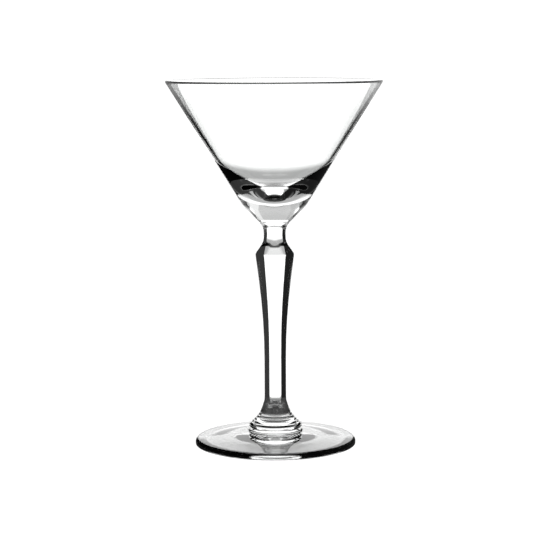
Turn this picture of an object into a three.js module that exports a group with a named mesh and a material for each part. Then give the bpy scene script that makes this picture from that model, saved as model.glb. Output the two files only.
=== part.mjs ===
// A stemmed cocktail glass: a conical bowl, a flared neck, a six-panelled stem, a ribbed bell, a round
// merese and a disc foot, all of clear glass. Millimetres, +Z up, origin where the glass's axis meets
// the surface it stands on. The middle of one stem panel faces -Y.

import * as THREE from "three";

// Overall sizes.
const HEIGHT = 174;
const RIM_RADIUS = 51.7; // where the cone's outside would meet the height of the rim
const FOOT_RADIUS = 38.4;
const JOINT_GAP = 0.3; // clear space left between neighbouring pieces at each fused joint

// Bowl: a straight cone, with a knee where its side turns in to the underside.
const RIM_THICKNESS = 1.4;
const LEVEL_THICKNESS = 1.2 * RIM_THICKNESS; // the same wall, measured level across its slope
const KNEE_RADIUS = 15.2;
const KNEE_Z = 114.8;
const KNEE_ROUNDING = 14;
const UNDERSIDE_SLOPE = 1.01; // radius gained per millimetre of height below the knee
const BOWL_JOINT_Z = 110.5;
const WELL_TOP_RADIUS = 21.2; // where the inner cone would meet the shallower slope of the well
const WELL_TOP_Z = 128.6;
const WELL_TOP_ROUNDING = 48;
const WELL_Z = 118.7; // lowest point of the drinking surface
const WELL_FLAT_RADIUS = 5.5; // where the well's slope would meet its lowest point's level
const WELL_ROUNDING = 18;

// Neck: the solid flare that carries the bowl.
const NECK_RADIUS = 5.25;
const NECK_ROUNDING = 8;
const NECK_JOINT_Z = 100.5; // the neck's waist, where it meets the stem

// Stem: a turned outline cut by six panels.
const PANELS = 6;
const PANEL_SHARE = 0.885; // a panel's distance from the axis, as a share of the turned radius
const SHOULDER_RADIUS = 9.28;
const SHOULDER_Z = 91.9;
const SHOULDER_FOOT_Z = 97.7; // where the shoulder's slope leaves the neck
const SHOULDER_ROUNDING = 2.4;
const WAIST_RADIUS = 5.17;
const WAIST_Z = 60.3; // where the taper would reach the waist radius
const WAIST_ROUNDING = 309;
const PANEL_END_Z = 20.6; // where the panels would turn outwards, to run out in the flare
const PANEL_END_ROUNDING = 3;
const RUNOUT_RADIUS = 25.6; // a point far out on the line that they run out along
const RUNOUT_Z = -7;
const PANEL_SHOULDER_RISE = 1; // how much higher a panel leaves the shoulder's slope than the turned side
const ACROSS_PANEL = [-1, -0.91, -0.6, -0.3, 0, 0.3, 0.6, 0.91]; // its points, in half panels

// Bell: the round flare under the stem, with turned ribs.
const BELL_JOINT_Z = 17.6;
const FLARE_TOP_Z = 17.5; // where the flare's slope would leave the waist radius
const FLARE_ROUNDING = 16;
const BELL_RADIUS = 12.8;
const BELL_EDGE_Z = 9.87;
const BELL_LIP_Z = 8.8;
const RIBS = 7;
const RIB_DEPTH = 0.3;
const RIB_TOP_Z = 16.7;
const RIB_CREST = 0.8; // share of a rib's height, from its groove up to its crest

// Merese: the round button between the bell and the foot.
const MERESE_JOINT_Z = 8;
const MERESE_NECK_RADIUS = 11.8;
const MERESE_RADIUS = 13.1;
const MERESE_TOP_Z = 7.4;
const MERESE_TOP_ROUNDING = 0.8;
const MERESE_EDGE_Z = 6.2;
const MERESE_EDGE_ROUNDING = 0.5;

// Foot: a coned disc on a flat resting ring, hollowed underneath.
const FOOT_JOINT_Z = 5.8;
const FOOT_TOP_RADIUS = 12;
const FOOT_EDGE_Z = 3.2;
const FOOT_EDGE_ROUNDING = 1.8;
const REST_RING_OUTER = 36.9;
const REST_RING_INNER = 33;
const REST_EDGE_Z = 0.5;
const HOLLOW_HEIGHT = 1.8;
const HOLLOW_FLAT_RADIUS = 21; // where the hollow's slope would meet its highest level
const HOLLOW_ROUNDING = 50;

const SIDES = 64; // straight edges round each turned piece
const ARC_STEP = Math.PI / 9; // largest turn between two points of a rounded corner
const ARC_MIN_STEPS = 4;
const halfGap = JOINT_GAP / 2;

const glass = new THREE.MeshStandardMaterial({ color: 0xf2f6f5, roughness: 0.02, metalness: 0 });

function piece(name, geometry) {
  const mesh = new THREE.Mesh(geometry, glass);
  mesh.name = name;
  return mesh;
}

// Corner points as [radius, z, rounding], with each rounded corner replaced by its tangent arc.
function rounded(corners) {
  const outline = [];
  corners.forEach(([r, z, rounding = 0], i) => {
    const corner = new THREE.Vector2(r, z);
    if (!rounding) {
      outline.push(corner);
      return;
    }
    const back = new THREE.Vector2(...corners[i - 1].slice(0, 2)).sub(corner).normalize();
    const on = new THREE.Vector2(...corners[i + 1].slice(0, 2)).sub(corner).normalize();
    const halfAngle = Math.acos(THREE.MathUtils.clamp(back.dot(on), -1, 1)) / 2;
    const turn = (Math.PI - 2 * halfAngle) * Math.sign(on.cross(back));
    const start = corner.clone().addScaledVector(back, rounding / Math.tan(halfAngle));
    const inward = back.clone().add(on).normalize();
    const centre = corner.clone().addScaledVector(inward, rounding / Math.sin(halfAngle));
    const steps = Math.max(ARC_MIN_STEPS, Math.ceil(Math.abs(turn) / ARC_STEP));
    for (let k = 0; k <= steps; k++) outline.push(start.clone().rotateAround(centre, (turn * k) / steps));
  });
  return outline;
}

// A turned solid from an outline that runs from the axis below, outwards, to the axis above.
function turned(name, outline) {
  return piece(name, new THREE.LatheGeometry(outline, SIDES).rotateX(Math.PI / 2));
}

// Radius of an outline at a height, read off between its two nearest points.
function radiusAt(outline, z) {
  for (let i = 1; i < outline.length; i++) {
    const a = outline[i - 1];
    const b = outline[i];
    if ((a.y - z) * (b.y - z) <= 0 && a.y !== b.y) return THREE.MathUtils.mapLinear(z, a.y, b.y, a.x, b.x);
  }
  return Infinity;
}

// The part of an upward-running outline between two heights, with a point at each of them.
function between(outline, lowZ, highZ) {
  return [
    new THREE.Vector2(radiusAt(outline, lowZ), lowZ),
    ...outline.filter((p) => p.y > lowZ && p.y < highZ),
    new THREE.Vector2(radiusAt(outline, highZ), highZ),
  ];
}

// The same outline, closed with a flat at each end.
function capped(outline) {
  return [new THREE.Vector2(0, outline[0].y), ...outline, new THREE.Vector2(0, outline.at(-1).y)];
}

// Outside of the neck and bowl, from the neck's waist to the rim.
const upperOutline = rounded([
  [NECK_RADIUS, NECK_JOINT_Z],
  [NECK_RADIUS, KNEE_Z - (KNEE_RADIUS - NECK_RADIUS) / UNDERSIDE_SLOPE, NECK_ROUNDING],
  [KNEE_RADIUS, KNEE_Z, KNEE_ROUNDING],
  [RIM_RADIUS, HEIGHT],
]);

// Turned outside of the bell and stem, from the bell's lip to the neck, before ribs and panels.
const lowerOutline = rounded([
  [BELL_RADIUS, BELL_LIP_Z],
  [BELL_RADIUS, BELL_EDGE_Z],
  [WAIST_RADIUS, FLARE_TOP_Z, FLARE_ROUNDING],
  [WAIST_RADIUS, WAIST_Z, WAIST_ROUNDING],
  [SHOULDER_RADIUS, SHOULDER_Z, SHOULDER_ROUNDING],
  [NECK_RADIUS, SHOULDER_FOOT_Z, NECK_ROUNDING],
  [NECK_RADIUS, NECK_JOINT_Z],
]);

// Distance of the panels from the axis, by height: they follow the taper and run out at both ends.
const panelOutline = rounded([
  [RUNOUT_RADIUS, RUNOUT_Z],
  [PANEL_SHARE * WAIST_RADIUS, PANEL_END_Z, PANEL_END_ROUNDING],
  [PANEL_SHARE * WAIST_RADIUS, WAIST_Z, WAIST_ROUNDING],
  [PANEL_SHARE * SHOULDER_RADIUS, SHOULDER_Z],
  [PANEL_SHARE * NECK_RADIUS, SHOULDER_FOOT_Z + PANEL_SHOULDER_RISE, NECK_ROUNDING],
  [NECK_RADIUS, NECK_JOINT_Z],
]);

function bowl() {
  const rim = RIM_THICKNESS / 2;
  const bottomZ = BOWL_JOINT_Z + halfGap;
  const bottomRadius = radiusAt(upperOutline, bottomZ);
  return turned(
    "bowl",
    rounded([
      [0, bottomZ],
      [bottomRadius, bottomZ],
      [KNEE_RADIUS, KNEE_Z, KNEE_ROUNDING],
      [RIM_RADIUS, HEIGHT, rim],
      [RIM_RADIUS - LEVEL_THICKNESS, HEIGHT, rim],
      [WELL_TOP_RADIUS, WELL_TOP_Z, WELL_TOP_ROUNDING],
      [WELL_FLAT_RADIUS, WELL_Z, WELL_ROUNDING],
      [0, WELL_Z],
    ]),
  );
}

function neck() {
  return turned("neck", capped(between(upperOutline, NECK_JOINT_Z + halfGap, BOWL_JOINT_Z - halfGap)));
}

function stem() {
  const outline = between(lowerOutline, BELL_JOINT_Z + halfGap, NECK_JOINT_Z - halfGap);
  const halfPanel = Math.PI / PANELS;
  const round = PANELS * ACROSS_PANEL.length;
  const points = [];
  for (const { x: radius, y: z } of outline)
    for (let j = 0; j < round; j++) {
      const offset = ACROSS_PANEL[j % ACROSS_PANEL.length] * halfPanel;
      const angle = (2 * Math.floor(j / ACROSS_PANEL.length) + 1) * halfPanel + offset;
      const r = Math.min(radius, radiusAt(panelOutline, z) / Math.cos(offset));
      points.push(r * Math.cos(angle), r * Math.sin(angle), z);
    }
  const under = outline.length * round; // the first point after the rings: the middle of the underside
  points.push(0, 0, outline[0].y, 0, 0, outline.at(-1).y);
  const faces = [];
  for (let j = 0; j < round; j++) {
    const next = (j + 1) % round;
    for (let low = 0; low + round < under; low += round) {
      const high = low + round;
      faces.push(low + j, low + next, high + next, low + j, high + next, high + j);
    }
    faces.push(under, next, j);
    faces.push(under + 1, under - round + j, under - round + next);
  }
  const geometry = new THREE.BufferGeometry();
  geometry.setAttribute("position", new THREE.Float32BufferAttribute(points, 3));
  geometry.setIndex(faces);
  geometry.computeVertexNormals();
  return piece("stem", geometry);
}

function bell() {
  const ribHeight = (RIB_TOP_Z - BELL_LIP_Z) / RIBS;
  const outline = [new THREE.Vector2(MERESE_NECK_RADIUS, MERESE_JOINT_Z + halfGap)];
  for (let i = 0; i < RIBS; i++) {
    const grooveZ = BELL_LIP_Z + i * ribHeight;
    const crestZ = grooveZ + RIB_CREST * ribHeight;
    outline.push(new THREE.Vector2(radiusAt(lowerOutline, grooveZ) - RIB_DEPTH, grooveZ));
    outline.push(new THREE.Vector2(radiusAt(lowerOutline, crestZ), crestZ));
  }
  outline.push(...between(lowerOutline, RIB_TOP_Z, BELL_JOINT_Z - halfGap));
  return turned("bell", capped(outline));
}

function merese() {
  const bottomZ = FOOT_JOINT_Z + halfGap;
  const topZ = MERESE_JOINT_Z - halfGap;
  return turned(
    "merese",
    rounded([
      [0, bottomZ],
      [FOOT_TOP_RADIUS, bottomZ],
      [MERESE_RADIUS, MERESE_EDGE_Z, MERESE_EDGE_ROUNDING],
      [MERESE_RADIUS, MERESE_TOP_Z, MERESE_TOP_ROUNDING],
      [MERESE_NECK_RADIUS, topZ],
      [0, topZ],
    ]),
  );
}

function foot() {
  const topZ = FOOT_JOINT_Z - halfGap;
  return turned(
    "foot",
    rounded([
      [0, HOLLOW_HEIGHT],
      [HOLLOW_FLAT_RADIUS, HOLLOW_HEIGHT, HOLLOW_ROUNDING],
      [REST_RING_INNER, 0],
      [REST_RING_OUTER, 0],
      [FOOT_RADIUS, REST_EDGE_Z],
      [FOOT_RADIUS, FOOT_EDGE_Z, FOOT_EDGE_ROUNDING],
      [FOOT_TOP_RADIUS, topZ],
      [0, topZ],
    ]),
  );
}

const glassware = new THREE.Group();
glassware.name = "cocktail_glass";
glassware.add(bowl(), neck(), stem(), bell(), merese(), foot());

export default glassware;
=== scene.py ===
"""A clear cocktail glass on a pale floor, lit from behind by a graded screen, with a soft light above.

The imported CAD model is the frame: the joints' heights and the largest radii are read from its nodes'
boxes. Outlines are in millimetres and become metres when a mesh is made. The six pieces are one
continuous skin cut at the fused joints, so clear glass shows no face inside it. The stage turns about
the vertical with the camera: see turning_rig.
"""

import math

import bmesh
import bpy
from mathutils import Matrix, Vector


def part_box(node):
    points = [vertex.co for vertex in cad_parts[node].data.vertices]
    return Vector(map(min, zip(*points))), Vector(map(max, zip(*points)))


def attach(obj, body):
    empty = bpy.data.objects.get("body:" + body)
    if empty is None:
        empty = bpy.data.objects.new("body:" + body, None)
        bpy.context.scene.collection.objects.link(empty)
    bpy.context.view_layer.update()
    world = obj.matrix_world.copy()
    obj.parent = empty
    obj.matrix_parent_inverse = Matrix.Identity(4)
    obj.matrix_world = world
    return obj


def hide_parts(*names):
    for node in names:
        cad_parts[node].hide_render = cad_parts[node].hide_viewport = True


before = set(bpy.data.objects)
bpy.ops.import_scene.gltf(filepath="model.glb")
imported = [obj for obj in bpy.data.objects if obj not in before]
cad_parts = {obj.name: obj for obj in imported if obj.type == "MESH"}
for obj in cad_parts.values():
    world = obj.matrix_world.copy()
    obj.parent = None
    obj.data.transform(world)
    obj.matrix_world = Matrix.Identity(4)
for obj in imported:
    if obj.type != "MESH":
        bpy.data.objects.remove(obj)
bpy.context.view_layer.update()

MM = 0.001

# ---------------------------------------------------------------- sizes, in millimetres

PANELS = 6
STEPS_PER_PANEL = 40  # points round one stem panel, and round a sixth of every turned piece
ARC_STEP = math.radians(3)
LONGEST_STEP = 1.5  # between two rings of points
EDGE_CROWDING = 0.6  # how far the points round a panel crowd towards its edges, from 0 to 1
JOINT_OVERLAP = 1  # how far an outline runs on past a joint before it is cut there


def box_mm(node):
    low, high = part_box(node)
    return Vector(low) / MM, Vector(high) / MM


def joint_height(below, above):
    """Middle of the gap that the CAD leaves between two nodes, where the real glass is fused."""
    return (box_mm(below)[1].z + box_mm(above)[0].z) / 2


FOOT_JOINT_Z = joint_height("foot", "merese")
MERESE_JOINT_Z = joint_height("merese", "bell")
BELL_JOINT_Z = joint_height("bell", "stem")
NECK_JOINT_Z = joint_height("stem", "neck")
BOWL_JOINT_Z = joint_height("neck", "bowl")
RIM_RADIUS = box_mm("bowl")[1].x
HEIGHT = box_mm("bowl")[1].z
FOOT_RADIUS = box_mm("foot")[1].x
MERESE_RADIUS = box_mm("merese")[1].x
BELL_RADIUS = box_mm("bell")[1].x

# Bowl
WALL_EDGE = 0.7  # rounding on each side of the rim
RIM_CORNER_GAP = 2.4 * WALL_EDGE  # between the two sharp corners that the roundings replace
CONE_SLOPE = 0.6166  # radius gained per millimetre of height
KNEE_Z = 114.8
KNEE_ROUNDING = 14
UNDERSIDE_SLOPE = 1.01
WELL_TOP_RADIUS = 21.2  # where the inner cone meets the shallower slope of the well
WELL_TOP_Z = 128.6
WELL_TOP_ROUNDING = 48
WELL_FLAT_RADIUS = 5.5
WELL_Z = 118.7
WELL_ROUNDING = 18

# Neck and stem
NECK_RADIUS = 5.25
NECK_ROUNDING = 8
SHOULDER_RADIUS = 9.28
SHOULDER_Z = 91.9
SHOULDER_FOOT_Z = 97.7
SHOULDER_ROUNDING = 2.4
WAIST_RADIUS = 5.17
WAIST_Z = 60.3
WAIST_ROUNDING = 309
PANEL_SHARE = 0.885  # distance of a panel's middle from the axis, as a share of the turned radius
PANEL_SHOULDER_ROUNDING = 1
PANEL_SHOULDER_RISE = 1  # how much higher than the turned shoulder's foot the panels' own lies
PANEL_TOP_MARGIN = 0.5  # how far outside the neck the panels end, so the neck stays round
PANEL_END_Z = 20.6
PANEL_END_ROUNDING = 3
RUNOUT_RADIUS = 25.6  # the panels' slope out through the bell, carried on past its edge
RUNOUT_Z = -7
ARRIS_SOFTNESS = 0.3  # how far from an edge between two panels its rounding starts

# Bell and merese
FLARE_TOP_Z = 17.5
FLARE_ROUNDING = 16
BELL_EDGE_Z = 9.87
BELL_LIP_Z = 8.8
RIBS = 7
RIB_TOP_Z = 16.7
RIB_DEPTH = 0.3
RIB_CREST = 0.8  # share of a rib's height, from its groove up to its crest
RIB_ROUNDING = 0.15
MERESE_NECK_RADIUS = 11.8
MERESE_TOP_Z = 7.4
MERESE_TOP_ROUNDING = 0.8
MERESE_EDGE_Z = 6.2
MERESE_EDGE_ROUNDING = 0.5

# Foot
FOOT_TOP_RADIUS = 12
FOOT_EDGE_Z = 3.2
FOOT_EDGE_ROUNDING = 1.8
REST_RING_OUTER = 36.9
REST_RING_INNER = 33
REST_INNER_ROUNDING = 2
REST_OUTER_ROUNDING = 0.4
REST_EDGE_Z = 0.5
REST_EDGE_ROUNDING = 0.5
HOLLOW_HEIGHT = 1.8
HOLLOW_FLAT_RADIUS = 21
HOLLOW_ROUNDING = 50

# ---------------------------------------------------------------- outlines


def rounded(corners):
    """Corner points (radius, z[, rounding]), with each rounded corner replaced by its tangent arc."""
    outline = []
    for i, corner in enumerate(corners):
        here = Vector(corner[:2])
        if len(corner) < 3:
            outline.append(here)
            continue
        back = (Vector(corners[i - 1][:2]) - here).normalized()
        on = (Vector(corners[i + 1][:2]) - here).normalized()
        half = back.angle(on) / 2
        turn = math.copysign(math.pi - 2 * half, on.x * back.y - on.y * back.x)
        start = here + back * corner[2] / math.tan(half)
        centre = here + (back + on).normalized() * corner[2] / math.sin(half)
        steps = max(4, math.ceil(abs(turn) / ARC_STEP))
        for k in range(steps + 1):
            outline.append(centre + Matrix.Rotation(turn * k / steps, 2) @ (start - centre))
    return outline


def radius_at(outline, z):
    """Radius of an outline at a height, read off between its two nearest points."""
    for a, b in zip(outline, outline[1:]):
        if (a.y - z) * (b.y - z) <= 0 and a.y != b.y:
            return a.x + (b.x - a.x) * (z - a.y) / (b.y - a.y)
    return math.inf


def between(outline, low, high):
    """The part of an upward-running outline between two heights, with a point at each of them."""
    ends = [Vector((radius_at(outline, z), z)) for z in (low, high)]
    return [ends[0], *(p for p in outline if low < p.y < high), ends[1]]


def subdivided(outline):
    """The same outline, with its long stretches cut into equal shorter ones."""
    points = [outline[0]]
    for a, b in zip(outline, outline[1:]):
        steps = math.ceil((b - a).length / LONGEST_STEP)
        points += [a.lerp(b, (k + 1) / steps) for k in range(steps)]
    return points


CONE_ANGLE = math.atan(CONE_SLOPE)
CONE_RIM_RADIUS = RIM_RADIUS - WALL_EDGE + WALL_EDGE * (1 + math.sin(CONE_ANGLE)) / math.cos(CONE_ANGLE)
KNEE_RADIUS = CONE_RIM_RADIUS - CONE_SLOPE * (HEIGHT - KNEE_Z)
NECK_TOP_Z = KNEE_Z - (KNEE_RADIUS - NECK_RADIUS) / UNDERSIDE_SLOPE

NECK_OUTLINE = rounded([
    (NECK_RADIUS, NECK_JOINT_Z - JOINT_OVERLAP),
    (NECK_RADIUS, NECK_TOP_Z, NECK_ROUNDING),
    (KNEE_RADIUS, KNEE_Z),
])
STEM_OUTLINE = rounded([
    (BELL_RADIUS, MERESE_JOINT_Z),
    (BELL_RADIUS, BELL_EDGE_Z),
    (WAIST_RADIUS, FLARE_TOP_Z, FLARE_ROUNDING),
    (WAIST_RADIUS, WAIST_Z, WAIST_ROUNDING),
    (SHOULDER_RADIUS, SHOULDER_Z, SHOULDER_ROUNDING),
    (NECK_RADIUS, SHOULDER_FOOT_Z, NECK_ROUNDING),
    (NECK_RADIUS, NECK_JOINT_Z + JOINT_OVERLAP),
])
PANEL_OUTLINE = rounded([
    (RUNOUT_RADIUS, RUNOUT_Z),
    (PANEL_SHARE * WAIST_RADIUS, PANEL_END_Z, PANEL_END_ROUNDING),
    (PANEL_SHARE * WAIST_RADIUS, WAIST_Z, WAIST_ROUNDING),
    (PANEL_SHARE * SHOULDER_RADIUS, SHOULDER_Z, PANEL_SHOULDER_ROUNDING),
    (PANEL_SHARE * NECK_RADIUS, SHOULDER_FOOT_Z + PANEL_SHOULDER_RISE, NECK_ROUNDING),
    (NECK_RADIUS + PANEL_TOP_MARGIN, NECK_JOINT_Z + JOINT_OVERLAP),
])


def bowl_outline():
    start = radius_at(NECK_OUTLINE, BOWL_JOINT_Z)
    return rounded([
        (start, BOWL_JOINT_Z),
        (KNEE_RADIUS, KNEE_Z, KNEE_ROUNDING),
        (CONE_RIM_RADIUS, HEIGHT, WALL_EDGE),
        (CONE_RIM_RADIUS - RIM_CORNER_GAP, HEIGHT, WALL_EDGE),
        (WELL_TOP_RADIUS, WELL_TOP_Z, WELL_TOP_ROUNDING),
        (WELL_FLAT_RADIUS, WELL_Z, WELL_ROUNDING),
        (0, WELL_Z),
    ])


def bell_outline():
    height = (RIB_TOP_Z - BELL_LIP_Z) / RIBS
    corners = [(MERESE_NECK_RADIUS, MERESE_JOINT_Z)]
    for i in range(RIBS):
        groove = BELL_LIP_Z + i * height
        crest = groove + RIB_CREST * height
        corners.append((radius_at(STEM_OUTLINE, groove) - RIB_DEPTH, groove, RIB_ROUNDING))
        corners.append((radius_at(STEM_OUTLINE, crest), crest, RIB_ROUNDING))
    corners.append((radius_at(STEM_OUTLINE, RIB_TOP_Z), RIB_TOP_Z))
    return rounded(corners)[:-1] + between(STEM_OUTLINE, RIB_TOP_Z, BELL_JOINT_Z)


def merese_outline():
    return rounded([
        (FOOT_TOP_RADIUS, FOOT_JOINT_Z),
        (MERESE_RADIUS, MERESE_EDGE_Z, MERESE_EDGE_ROUNDING),
        (MERESE_RADIUS, MERESE_TOP_Z, MERESE_TOP_ROUNDING),
        (MERESE_NECK_RADIUS, MERESE_JOINT_Z),
    ])


def foot_outline():
    return rounded([
        (0, HOLLOW_HEIGHT),
        (HOLLOW_FLAT_RADIUS, HOLLOW_HEIGHT, HOLLOW_ROUNDING),
        (REST_RING_INNER, 0, REST_INNER_ROUNDING),
        (REST_RING_OUTER, 0, REST_OUTER_ROUNDING),
        (FOOT_RADIUS, REST_EDGE_Z, REST_EDGE_ROUNDING),
        (FOOT_RADIUS, FOOT_EDGE_Z, FOOT_EDGE_ROUNDING),
        (FOOT_TOP_RADIUS, FOOT_JOINT_Z),
    ])


# ---------------------------------------------------------------- meshes


def offsets():
    """Angles across one panel from its middle, closer together towards its edges."""
    half = math.pi / PANELS
    shares = [2 * k / STEPS_PER_PANEL - 1 for k in range(STEPS_PER_PANEL)]
    even = 1 - EDGE_CROWDING
    return [half * (even * s + EDGE_CROWDING * math.sin(s * math.pi / 2)) for s in shares]


def turned_radius(radius, z, offset):
    """A turned piece is round, so its radius is the outline's at every angle."""
    return radius


def panelled_radius(radius, z, offset):
    """The smaller of the turned radius and the panel's, with the edge between them softened."""
    panel = radius_at(PANEL_OUTLINE, z) / math.cos(offset)
    overlap = max(ARRIS_SOFTNESS - abs(radius - panel), 0) / ARRIS_SOFTNESS
    return min(radius, panel) - overlap * overlap * ARRIS_SOFTNESS / 4


def skin(name, outline, radius_of=turned_radius):
    """A mesh swept round the axis; an outline's end on the axis becomes one point."""
    mesh = bmesh.new()
    angles = [((2 * p + 1) * math.pi / PANELS, o) for p in range(PANELS) for o in offsets()]
    rings = []
    for radius, z in subdivided(outline):
        if radius == 0:
            rings.append([mesh.verts.new((0, 0, z * MM))] * len(angles))
            continue
        ring = []
        for middle, offset in angles:
            r = radius_of(radius, z, offset) * MM
            angle = middle + offset
            ring.append(mesh.verts.new((r * math.cos(angle), r * math.sin(angle), z * MM)))
        rings.append(ring)
    for low, high in zip(rings, rings[1:]):
        for j in range(len(angles)):
            k = (j + 1) % len(angles)
            corners = dict.fromkeys((low[j], low[k], high[k], high[j]))
            mesh.faces.new(corners).smooth = True
    data = bpy.data.meshes.new(name)
    mesh.to_mesh(data)
    mesh.free()
    obj = bpy.data.objects.new(name, data)
    bpy.context.scene.collection.objects.link(obj)
    return obj


# ---------------------------------------------------------------- materials

GLASS_TINT = (0.985, 0.992, 0.988, 1)
GLASS_IOR = 1.5
RIPPLE_DETAIL = 1
RIPPLE_ROUGHNESS = 0.4
WEAR_SCALE = 900  # of the fine scuffs, per metre

# Slow unevenness of each way of making the glass: (noise scale per metre, height in metres).
BLOWN_RIPPLES = ((35, 0.00004), (140, 0.000006))
PRESSED_RIPPLES = ((60, 0.00003), (420, 0.000004))
FOOT_RIPPLES = ((45, 0.00005), (300, 0.000004))

# Scuffs: the height in metres where they start, the height where they are fullest, and how rough they get.
RIM_WEAR = (0.173, 0.174, 0.03)
BELL_WEAR = (0.0175, 0.009, 0.01)
REST_WEAR = (0.0006, 0, 0.12)

WHITE = (1, 1, 1, 1)
BLACK = (0, 0, 0, 1)


def ripple_bump(nodes, links, place, scale, height, normal):
    """A bump that follows soft noise, on top of another bump's normal if there is one."""
    noise = nodes.new("ShaderNodeTexNoise")
    noise.inputs["Scale"].default_value = scale
    noise.inputs["Detail"].default_value = RIPPLE_DETAIL
    noise.inputs["Roughness"].default_value = RIPPLE_ROUGHNESS
    links.new(place, noise.inputs["Vector"])
    bump = nodes.new("ShaderNodeBump")
    bump.inputs["Strength"].default_value = 1
    bump.inputs["Distance"].default_value = height
    links.new(noise.outputs[0], bump.inputs["Height"])
    if normal:
        links.new(normal, bump.inputs["Normal"])
    return bump.outputs["Normal"]


def glass_material(name, ripples, wear):
    """Clear glass with ripples, and with scuffs that grow from none at one height to full at another."""
    clean_z, worn_z, roughest = wear
    material = bpy.data.materials.new(name)
    material.use_nodes = True
    nodes, links = material.node_tree.nodes, material.node_tree.links
    shader = nodes["Principled BSDF"]
    shader.inputs["Base Color"].default_value = GLASS_TINT
    shader.inputs["Transmission Weight"].default_value = 1
    shader.inputs["IOR"].default_value = GLASS_IOR
    place = nodes.new("ShaderNodeTexCoord").outputs["Object"]
    normal = None
    for scale, height in ripples:
        normal = ripple_bump(nodes, links, place, scale, height, normal)
    links.new(normal, shader.inputs["Normal"])
    split = nodes.new("ShaderNodeSeparateXYZ")
    links.new(place, split.inputs[0])
    fade = nodes.new("ShaderNodeMapRange")
    fade.interpolation_type = "SMOOTHSTEP"
    fade.inputs["From Min"].default_value = clean_z
    fade.inputs["From Max"].default_value = worn_z
    fade.inputs["To Max"].default_value = roughest
    links.new(split.outputs["Z"], fade.inputs["Value"])
    marks = nodes.new("ShaderNodeTexNoise")
    marks.inputs["Scale"].default_value = WEAR_SCALE
    links.new(place, marks.inputs["Vector"])
    rough = nodes.new("ShaderNodeMath")
    rough.operation = "MULTIPLY"
    links.new(fade.outputs["Result"], rough.inputs[0])
    links.new(marks.outputs[0], rough.inputs[1])
    links.new(rough.outputs[0], shader.inputs["Roughness"])
    return material


def emission_material(name, strength):
    """Plain white light from a surface that reflects nothing."""
    material = bpy.data.materials.new(name)
    material.use_nodes = True
    shader = material.node_tree.nodes["Principled BSDF"]
    shader.inputs["Base Color"].default_value = BLACK
    shader.inputs["Specular IOR Level"].default_value = 0
    shader.inputs["Emission Color"].default_value = WHITE
    shader.inputs["Emission Strength"].default_value = strength
    return material


# ---------------------------------------------------------------- camera

CAMERA_LENS = 123.6  # in millimetres, like the sensor
SENSOR_WIDTH = 36
CAMERA_PLACE = (-0.0023, -0.875, 0.194)
CAMERA_DOWN = 7.165  # degrees below level
CAMERA_ROLL = -0.27  # degrees


def camera():
    data = bpy.data.cameras.new("camera")
    data.lens = CAMERA_LENS
    data.sensor_width = SENSOR_WIDTH
    obj = bpy.data.objects.new("camera", data)
    bpy.context.scene.collection.objects.link(obj)
    pitch = Matrix.Rotation(math.radians(90 - CAMERA_DOWN), 4, "X")
    roll = Matrix.Rotation(math.radians(CAMERA_ROLL), 4, "Z")
    obj.matrix_world = Matrix.Translation(CAMERA_PLACE) @ pitch @ roll
    bpy.context.scene.camera = obj
    return obj


# ---------------------------------------------------------------- stage, in metres

WORLD_GREY = 0.02
FLOOR = 3.0  # half the floor's side, and the backdrop's distance
FLOOR_Z = -0.001
FLOOR_WHITE = 1.1

SCREEN_Y = 1.2
SCREEN_HALF_WIDTH = 1.5
SCREEN_TOP = 1.6
SCREEN_FADE = 0.35  # height over which the screen fades out at its top
SCREEN_WHITE = 1.4
SCREEN_WHITE_Z = -0.1  # the screen is white down to here, and grey from the next height down
SCREEN_GREY_Z = -0.45
SCREEN_GREY = 0.5

FLAG_X = 0.06
FLAG_BACK = 0.104
FLAG_FRONT = -0.4
FLAG_TOP = 0.26
FLAG_BOTTOM = -0.1
FLAG_DARK_Z = 0.13  # a flag is dark up to here and fades to pale by the next height
FLAG_PALE_Z = 0.19
FLAGS = (("flag_left", -FLAG_X, 0.01, 0.5), ("flag_right", FLAG_X, 0.04, 0.9))  # x, darkest, palest

TABLE_BACK = 0.105
TABLE_Z = -0.0001
TABLE_GLOW = 0.05
TABLE_SPECULAR = 0.5
TABLE_ROUGHNESS = 0.02

SOFTBOX_SIZE = 1.8
SOFTBOX_Z = 1.3
SOFTBOX_WATTS = 6


def panel(name, corners, material, parent=None, seen=True):
    """One flat face of the stage, which the camera sees or doesn't."""
    data = bpy.data.meshes.new(name)
    data.from_pydata(corners, [], [range(len(corners))])
    data.materials.append(material)
    obj = bpy.data.objects.new(name, data)
    bpy.context.scene.collection.objects.link(obj)
    obj.parent = parent
    obj.visible_camera = seen
    return obj


def level(half_width, front, back, z):
    return [(-half_width, front, z), (half_width, front, z), (half_width, back, z), (-half_width, back, z)]


def upright(half_width, y, bottom, top):
    return [(-half_width, y, bottom), (half_width, y, bottom), (half_width, y, top), (-half_width, y, top)]


def sideways(x, front, back, bottom, top):
    return [(x, front, bottom), (x, back, bottom), (x, back, top), (x, front, top)]


def only_for_camera(obj):
    obj.visible_diffuse = False
    obj.visible_glossy = False
    obj.visible_transmission = False


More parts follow.
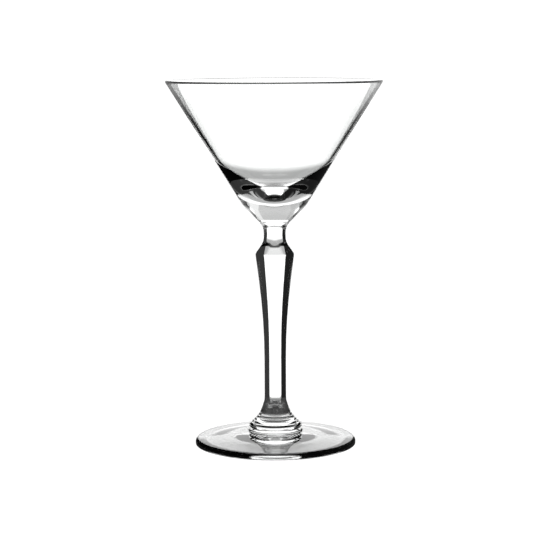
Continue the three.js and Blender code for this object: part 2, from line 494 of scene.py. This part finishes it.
def graded_light(name, *fades):
    """Light whose strength changes softly with height; each fade is (z, next z, strength, next strength)."""
    material = emission_material(name, 1)
    nodes, links = material.node_tree.nodes, material.node_tree.links
    split = nodes.new("ShaderNodeSeparateXYZ")
    links.new(nodes.new("ShaderNodeTexCoord").outputs["Object"], split.inputs[0])
    strength = None
    for fade in fades:
        step = nodes.new("ShaderNodeMapRange")
        step.interpolation_type = "SMOOTHSTEP"
        for socket, value in zip(("From Min", "From Max", "To Min", "To Max"), fade):
            step.inputs[socket].default_value = value
        links.new(split.outputs["Z"], step.inputs["Value"])
        product = nodes.new("ShaderNodeMath")
        product.operation = "MULTIPLY"
        product.inputs[0].default_value = 1
        if strength:
            links.new(strength, product.inputs[0])
        links.new(step.outputs["Result"], product.inputs[1])
        strength = product.outputs[0]
    links.new(strength, nodes["Principled BSDF"].inputs["Emission Strength"])
    return material


def turning_rig(cam):
    """An empty on the glass's axis that turns about the vertical to face the camera, in every view.

    The screen, backdrop, flags, table top and soft light hang on it, as if the glass stood on a turntable
    in front of a fixed camera and fixed lights. So the light follows the camera in the other views.
    Without the constraint the main view stays the same, and the glass looks dark and smoky from other
    sides. Nothing on the glass depends on it.
    """
    rig = bpy.data.objects.new("rig", None)
    bpy.context.scene.collection.objects.link(rig)
    track = rig.constraints.new("LOCKED_TRACK")
    track.target = cam
    track.track_axis = "TRACK_NEGATIVE_Y"
    track.lock_axis = "LOCK_Z"
    return rig


def soft_light(parent):
    light = bpy.data.lights.new("softbox", "AREA")
    light.size = SOFTBOX_SIZE
    light.energy = SOFTBOX_WATTS
    obj = bpy.data.objects.new("softbox", light)
    obj.location.z = SOFTBOX_Z
    obj.visible_camera = False
    obj.parent = parent
    bpy.context.scene.collection.objects.link(obj)


def stage(cam):
    rig = turning_rig(cam)
    floor = panel("floor", level(FLOOR, -FLOOR, FLOOR, 0), emission_material("pale_floor", FLOOR_WHITE))
    floor.location.z = FLOOR_Z
    only_for_camera(floor)
    white = emission_material("backdrop_white", FLOOR_WHITE)
    only_for_camera(panel("backdrop", upright(FLOOR, FLOOR, -FLOOR, FLOOR), white, rig))
    screen_light = graded_light(
        "screen_light",
        (SCREEN_GREY_Z, SCREEN_WHITE_Z, SCREEN_GREY, SCREEN_WHITE),
        (SCREEN_TOP, SCREEN_TOP - SCREEN_FADE, 0, 1),
    )
    panel("screen", upright(SCREEN_HALF_WIDTH, SCREEN_Y, -FLOOR, SCREEN_TOP), screen_light, rig, seen=False)
    table = emission_material("table_top", TABLE_GLOW)
    table.node_tree.nodes["Principled BSDF"].inputs["Specular IOR Level"].default_value = TABLE_SPECULAR
    table.node_tree.nodes["Principled BSDF"].inputs["Roughness"].default_value = TABLE_ROUGHNESS
    panel("table", level(FLAG_X, FLAG_FRONT, TABLE_BACK, TABLE_Z), table, rig, seen=False)
    for name, x, dark, pale in FLAGS:
        light = graded_light(name, (FLAG_DARK_Z, FLAG_PALE_Z, dark, pale))
        panel(name, sideways(x, FLAG_FRONT, FLAG_BACK, FLAG_BOTTOM, FLAG_TOP), light, rig, seen=False)
    soft_light(rig)
    world = bpy.data.worlds.new("studio")
    world.use_nodes = True
    colour = (WORLD_GREY, WORLD_GREY, WORLD_GREY, 1)
    world.node_tree.nodes["Background"].inputs["Color"].default_value = colour
    bpy.context.scene.world = world
    bpy.context.scene.view_settings.view_transform = "Standard"


# ---------------------------------------------------------------- the glass


def build():
    blown = glass_material("blown_glass", BLOWN_RIPPLES, RIM_WEAR)
    pressed = glass_material("pressed_glass", PRESSED_RIPPLES, BELL_WEAR)
    scuffed = glass_material("scuffed_glass", FOOT_RIPPLES, REST_WEAR)
    stem = between(STEM_OUTLINE, BELL_JOINT_Z, NECK_JOINT_Z)
    pieces = [
        (skin("foot_disc", foot_outline()), "foot", scuffed),
        (skin("merese_button", merese_outline()), "merese", pressed),
        (skin("ribbed_bell", bell_outline()), "bell", pressed),
        (skin("panelled_stem", stem, panelled_radius), "stem", pressed),
        (skin("neck_flare", between(NECK_OUTLINE, NECK_JOINT_Z, BOWL_JOINT_Z)), "neck", pressed),
        (skin("bowl_cone", bowl_outline()), "bowl", blown),
    ]
    for obj, node, glass in pieces:
        obj.data.materials.append(glass)
        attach(obj, "root")
        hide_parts(node)


cam = camera()
stage(cam)
build()
